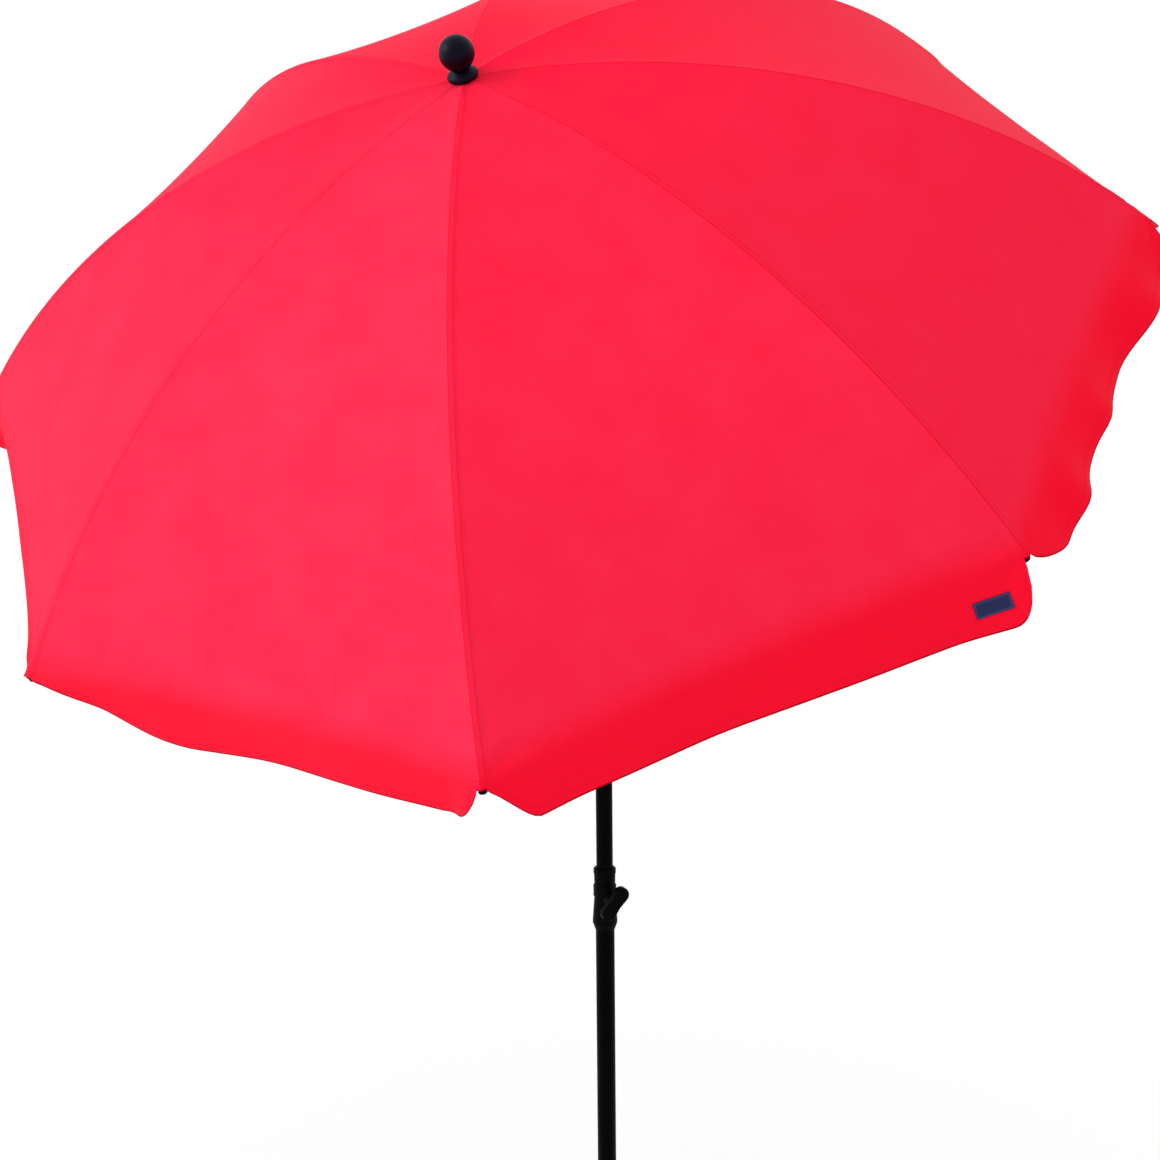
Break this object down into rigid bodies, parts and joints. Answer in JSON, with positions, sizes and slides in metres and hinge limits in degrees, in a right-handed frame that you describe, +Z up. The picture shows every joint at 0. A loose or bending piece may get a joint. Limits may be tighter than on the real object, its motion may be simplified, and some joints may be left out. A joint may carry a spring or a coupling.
{
  "type": "patio umbrella with base",
  "caption": "Tilting patio umbrella with a domed red cover, bowed ribs that fold with a runner, a two-piece height-adjustable mast and a round weighted base.",
  "frame": {"origin": "centre of the base's underside, on the floor", "axes": "+Z up the mast; the canopy leans towards -Y and its tilt pivot lies along X"},
  "size_m": [1.6808, 1.3746, 2.2932],
  "materials": {
    "cover_cloth": "satin",
    "frame_paint": "satin",
    "black_plastic": "matte",
    "finial_plastic": "satin",
    "plated_steel": "satin",
    "base_composite": "matte",
    "base_rubber": "matte"
  },
  "bodies": {
    "base": {"base_weight": "base_composite", "base_pad": "base_rubber", "base_socket": "frame_paint", "flange_bolts": "plated_steel", "socket_bushes": "black_plastic"},
    "base_clamp": {"base_screw": "plated_steel", "base_knob": "black_plastic"},
    "lower_mast": {"lower_pole": "frame_paint", "clamp_body": "black_plastic", "clamp_liner": "black_plastic", "clamp_nut": "plated_steel"},
    "height_clamp": {"height_screw": "plated_steel", "height_wing": "black_plastic"},
    "upper_mast": {"upper_pole": "frame_paint", "upper_glide": "black_plastic", "tilt_yoke": "black_plastic", "tilt_pin": "plated_steel", "button_spring": "plated_steel"},
    "button": {"tilt_button": "black_plastic"},
    "head": {"tilt_tongue": "black_plastic", "canopy_pole": "frame_paint", "crown_hub": "black_plastic", "crown_pins": "plated_steel", "finial_stud": "plated_steel", "finial_collar": "finial_plastic", "finial_ball": "finial_plastic"},
    "runner": {"runner": "black_plastic"},
    "rib_1": {"rib_1": "frame_paint", "rib_cap_1": "black_plastic", "cover_1": "cover_cloth"},
    "stretcher_1": {"stretcher_1": "frame_paint"},
    "rib_2": {"rib_2": "frame_paint", "rib_cap_2": "black_plastic", "cover_2": "cover_cloth"},
    "stretcher_2": {"stretcher_2": "frame_paint"},
    "rib_3": {"rib_3": "frame_paint", "rib_cap_3": "black_plastic", "cover_3": "cover_cloth"},
    "stretcher_3": {"stretcher_3": "frame_paint"},
    "rib_4": {"rib_4": "frame_paint", "rib_cap_4": "black_plastic", "cover_4": "cover_cloth"},
    "stretcher_4": {"stretcher_4": "frame_paint"},
    "rib_5": {"rib_5": "frame_paint", "rib_cap_5": "black_plastic", "cover_5": "cover_cloth"},
    "stretcher_5": {"stretcher_5": "frame_paint"},
    "rib_6": {"rib_6": "frame_paint", "rib_cap_6": "black_plastic", "cover_6": "cover_cloth"},
    "stretcher_6": {"stretcher_6": "frame_paint"},
    "rib_7": {"rib_7": "frame_paint", "rib_cap_7": "black_plastic", "cover_7": "cover_cloth"},
    "stretcher_7": {"stretcher_7": "frame_paint"},
    "rib_8": {"rib_8": "frame_paint", "rib_cap_8": "black_plastic", "cover_8": "cover_cloth"},
    "stretcher_8": {"stretcher_8": "frame_paint"}
  },
  "joints": [
    {"name": "base_screw_turn", "type": "hinge", "parent": "base", "child": "base_clamp", "pos_m": [0, 0, 0.228], "axis": [0.7071, -0.7071, 0], "range_deg": [0, 360]},
    {"name": "mast_swivel", "type": "hinge", "parent": "base", "child": "lower_mast", "pos_m": [0, 0, 0.1], "axis": [0, 0, 1], "continuous": true},
    {"name": "height_screw_turn", "type": "hinge", "parent": "lower_mast", "child": "height_clamp", "pos_m": [0, 0, 0.803], "axis": [0.7071, -0.7071, 0], "range_deg": [0, 360]},
    {"name": "height_slide", "type": "slide", "parent": "lower_mast", "child": "upper_mast", "axis": [0, 0, 1], "range_m": [-0.35, 0.2]},
    {"name": "canopy_tilt", "type": "hinge", "parent": "upper_mast", "child": "head", "pos_m": [0, 0, 1.38], "axis": [1, 0, 0], "range_deg": [-36, 0]},
    {"name": "button_press", "type": "slide", "parent": "upper_mast", "child": "button", "axis": [-1, 0, 0], "range_m": [0, 0.0025], "stiffness_N_per_m": 1500, "deforming": ["button_spring"]},
    {"name": "runner_slide", "type": "slide", "parent": "head", "child": "runner", "axis": [0, 0.5878, -0.809], "range_m": [0, 0.43291], "deforming": ["cover_1", "cover_2", "cover_3", "cover_4", "cover_5", "cover_6", "cover_7", "cover_8"]},
    {"name": "rib_1_fold", "type": "hinge", "parent": "head", "child": "rib_1", "pos_m": [0.0062, -0.52619, 2.06128], "axis": [0.9711, 0.193, 0.1402], "range_deg": [0, 63]},
    {"name": "stretcher_1_fold", "type": "hinge", "parent": "rib_1", "child": "stretcher_1", "pos_m": [0.08587, -0.75408, 1.82311], "axis": [0.9711, 0.193, 0.1402], "range_deg": [-105.24, 0]},
    {"name": "rib_2_fold", "type": "hinge", "parent": "head", "child": "rib_2", "pos_m": [0.02224, -0.51666, 2.06821], "axis": [0.518, 0.692, 0.5028], "range_deg": [0, 63]},
    {"name": "stretcher_2_fold", "type": "hinge", "parent": "rib_2", "child": "stretcher_2", "pos_m": [0.30793, -0.62211, 1.91899], "axis": [0.518, 0.692, 0.5028], "range_deg": [-105.24, 0]},
    {"name": "rib_3_fold", "type": "hinge", "parent": "head", "child": "rib_3", "pos_m": [0.02525, -0.50074, 2.07977], "axis": [-0.2385, 0.7857, 0.5708], "range_deg": [0, 63]},
    {"name": "stretcher_3_fold", "type": "hinge", "parent": "rib_3", "child": "stretcher_3", "pos_m": [0.34961, -0.40177, 2.07908], "axis": [-0.2385, 0.7857, 0.5708], "range_deg": [-105.24, 0]},
    {"name": "rib_4_fold", "type": "hinge", "parent": "head", "child": "rib_4", "pos_m": [0.01347, -0.48777, 2.0892], "axis": [-0.8554, 0.4191, 0.3045], "range_deg": [0, 63]},
    {"name": "stretcher_4_fold", "type": "hinge", "parent": "rib_4", "child": "stretcher_4", "pos_m": [0.18649, -0.22212, 2.20961], "axis": [-0.8554, 0.4191, 0.3045], "range_deg": [-105.24, 0]},
    {"name": "rib_5_fold", "type": "hinge", "parent": "head", "child": "rib_5", "pos_m": [-0.0062, -0.48534, 2.09096], "axis": [-0.9711, -0.193, -0.1402], "range_deg": [0, 63]},
    {"name": "stretcher_5_fold", "type": "hinge", "parent": "rib_5", "child": "stretcher_5", "pos_m": [-0.08587, -0.1884, 2.2341], "axis": [-0.9711, -0.193, -0.1402], "range_deg": [-105.24, 0]},
    {"name": "rib_6_fold", "type": "hinge", "parent": "head", "child": "rib_6", "pos_m": [-0.02224, -0.49487, 2.08404], "axis": [-0.518, -0.692, -0.5028], "range_deg": [0, 63]},
    {"name": "stretcher_6_fold", "type": "hinge", "parent": "rib_6", "child": "stretcher_6", "pos_m": [-0.30793, -0.32037, 2.13822], "axis": [-0.518, -0.692, -0.5028], "range_deg": [-105.24, 0]},
    {"name": "rib_7_fold", "type": "hinge", "parent": "head", "child": "rib_7", "pos_m": [-0.02525, -0.51078, 2.07248], "axis": [0.2385, -0.7857, -0.5708], "range_deg": [0, 63]},
    {"name": "stretcher_7_fold", "type": "hinge", "parent": "rib_7", "child": "stretcher_7", "pos_m": [-0.34961, -0.54071, 1.97813], "axis": [0.2385, -0.7857, -0.5708], "range_deg": [-105.24, 0]},
    {"name": "rib_8_fold", "type": "hinge", "parent": "head", "child": "rib_8", "pos_m": [-0.01347, -0.52375, 2.06305], "axis": [0.8554, -0.4191, -0.3045], "range_deg": [0, 63]},
    {"name": "stretcher_8_fold", "type": "hinge", "parent": "rib_8", "child": "stretcher_8", "pos_m": [-0.18649, -0.72036, 1.84761], "axis": [0.8554, -0.4191, -0.3045], "range_deg": [-105.24, 0]}
  ],
  "couplings": [
    {"joint": "rib_1_fold", "follows": "runner_slide", "rad_per_m": 2.5399},
    {"joint": "stretcher_1_fold", "follows": "runner_slide", "rad_per_m": -4.243},
    {"joint": "rib_2_fold", "follows": "runner_slide", "rad_per_m": 2.5399},
    {"joint": "stretcher_2_fold", "follows": "runner_slide", "rad_per_m": -4.243},
    {"joint": "rib_3_fold", "follows": "runner_slide", "rad_per_m": 2.5399},
    {"joint": "stretcher_3_fold", "follows": "runner_slide", "rad_per_m": -4.243},
    {"joint": "rib_4_fold", "follows": "runner_slide", "rad_per_m": 2.5399},
    {"joint": "stretcher_4_fold", "follows": "runner_slide", "rad_per_m": -4.243},
    {"joint": "rib_5_fold", "follows": "runner_slide", "rad_per_m": 2.5399},
    {"joint": "stretcher_5_fold", "follows": "runner_slide", "rad_per_m": -4.243},
    {"joint": "rib_6_fold", "follows": "runner_slide", "rad_per_m": 2.5399},
    {"joint": "stretcher_6_fold", "follows": "runner_slide", "rad_per_m": -4.243},
    {"joint": "rib_7_fold", "follows": "runner_slide", "rad_per_m": 2.5399},
    {"joint": "stretcher_7_fold", "follows": "runner_slide", "rad_per_m": -4.243},
    {"joint": "rib_8_fold", "follows": "runner_slide", "rad_per_m": 2.5399},
    {"joint": "stretcher_8_fold", "follows": "runner_slide", "rad_per_m": -4.243}
  ]
}
